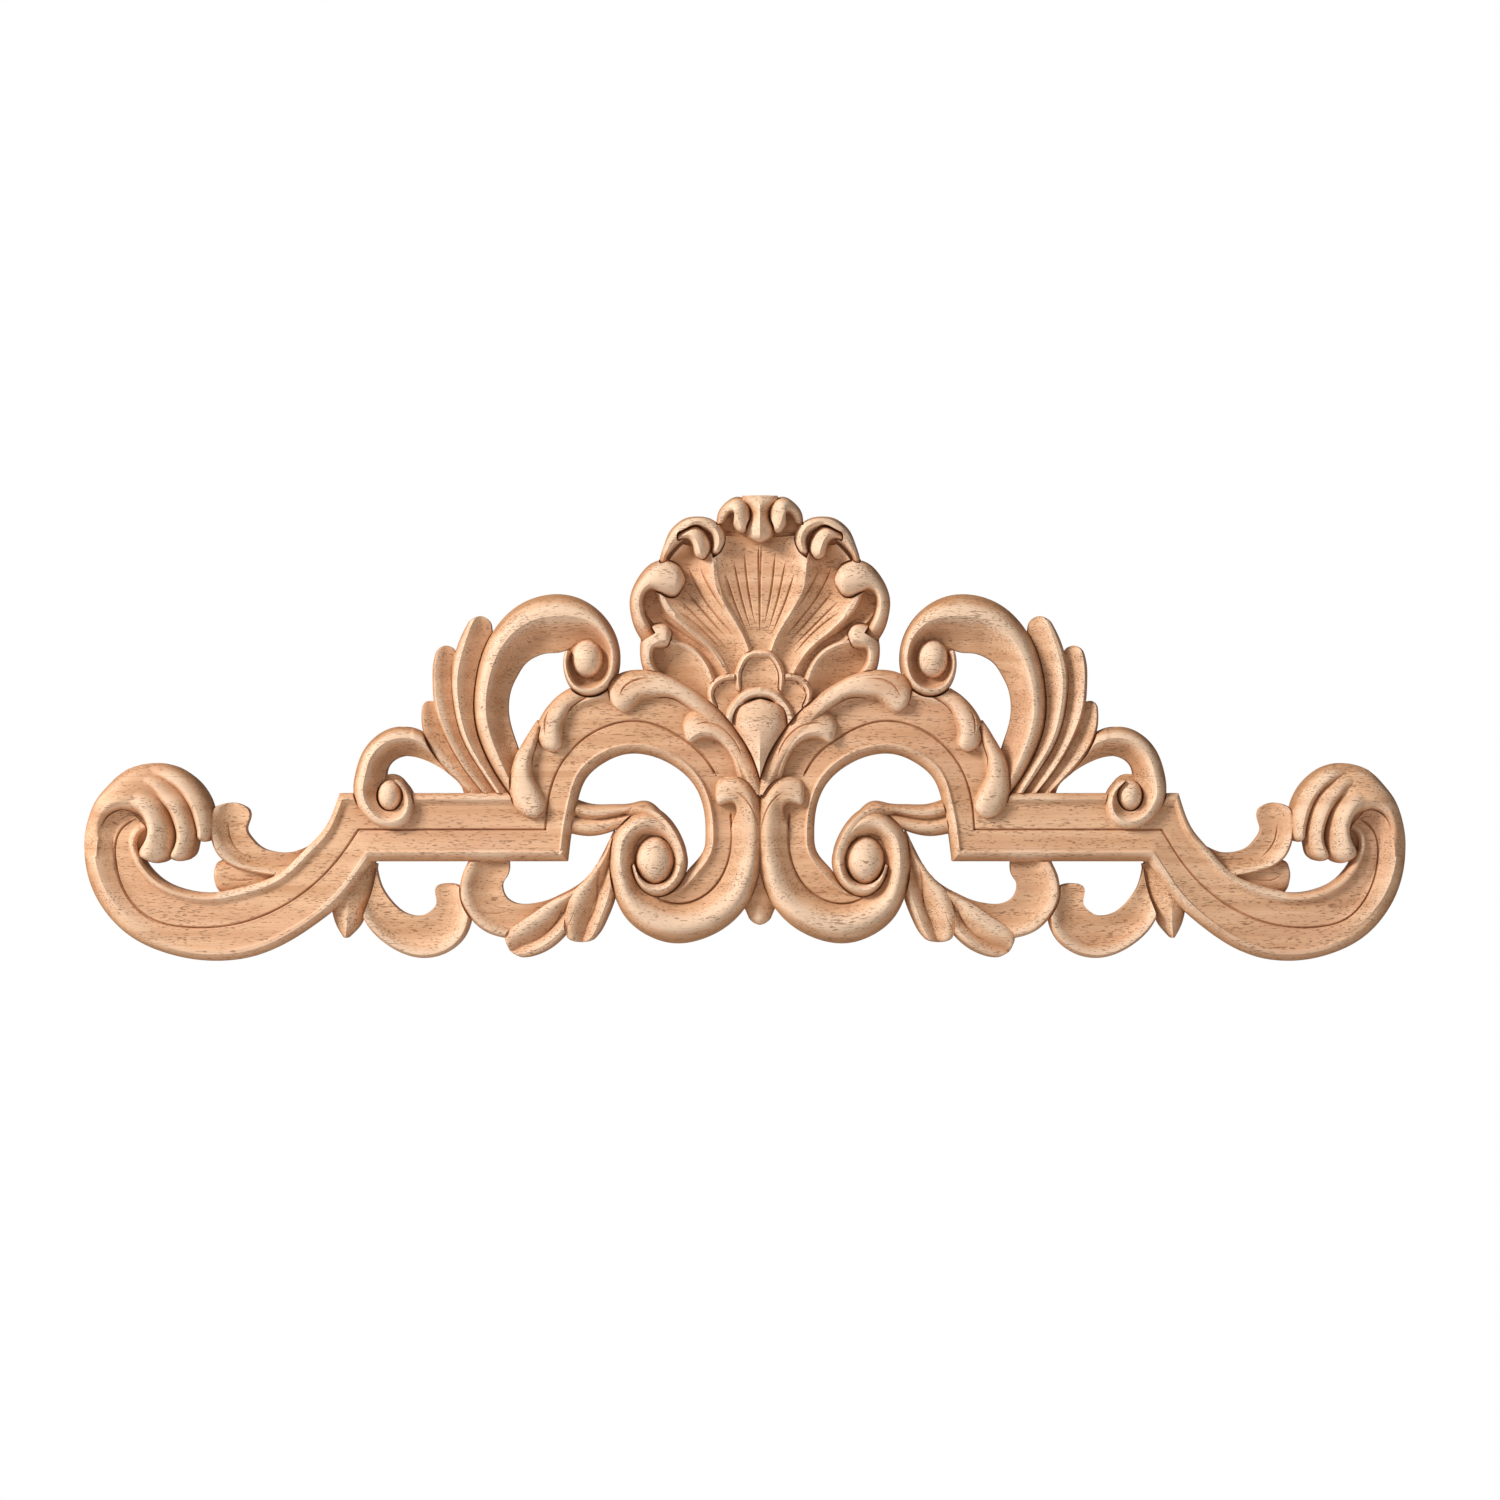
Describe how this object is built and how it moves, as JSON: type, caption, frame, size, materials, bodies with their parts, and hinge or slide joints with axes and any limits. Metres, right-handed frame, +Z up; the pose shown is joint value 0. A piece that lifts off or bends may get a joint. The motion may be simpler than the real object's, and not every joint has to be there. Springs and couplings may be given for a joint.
{
  "type": "carved headpiece",
  "caption": "Carved wood crest with a central scallop shell, scrolled mouldings and acanthus leaves, pierced, with a flat back for fixing over a panel or door.",
  "frame": {"origin": "on the flat back, on the middle line, behind the bud under the shell", "axes": "+X along the length to the viewer's right, +Y out of the back into the wall, +Z up; the carved front faces -Y"},
  "size_m": [0.5988, 0.021, 0.2107],
  "materials": {
    "wood": "raw sanded wood, unfinished"
  },
  "bodies": {
    "root": {"carved_headpiece": "wood"}
  },
  "joints": []
}
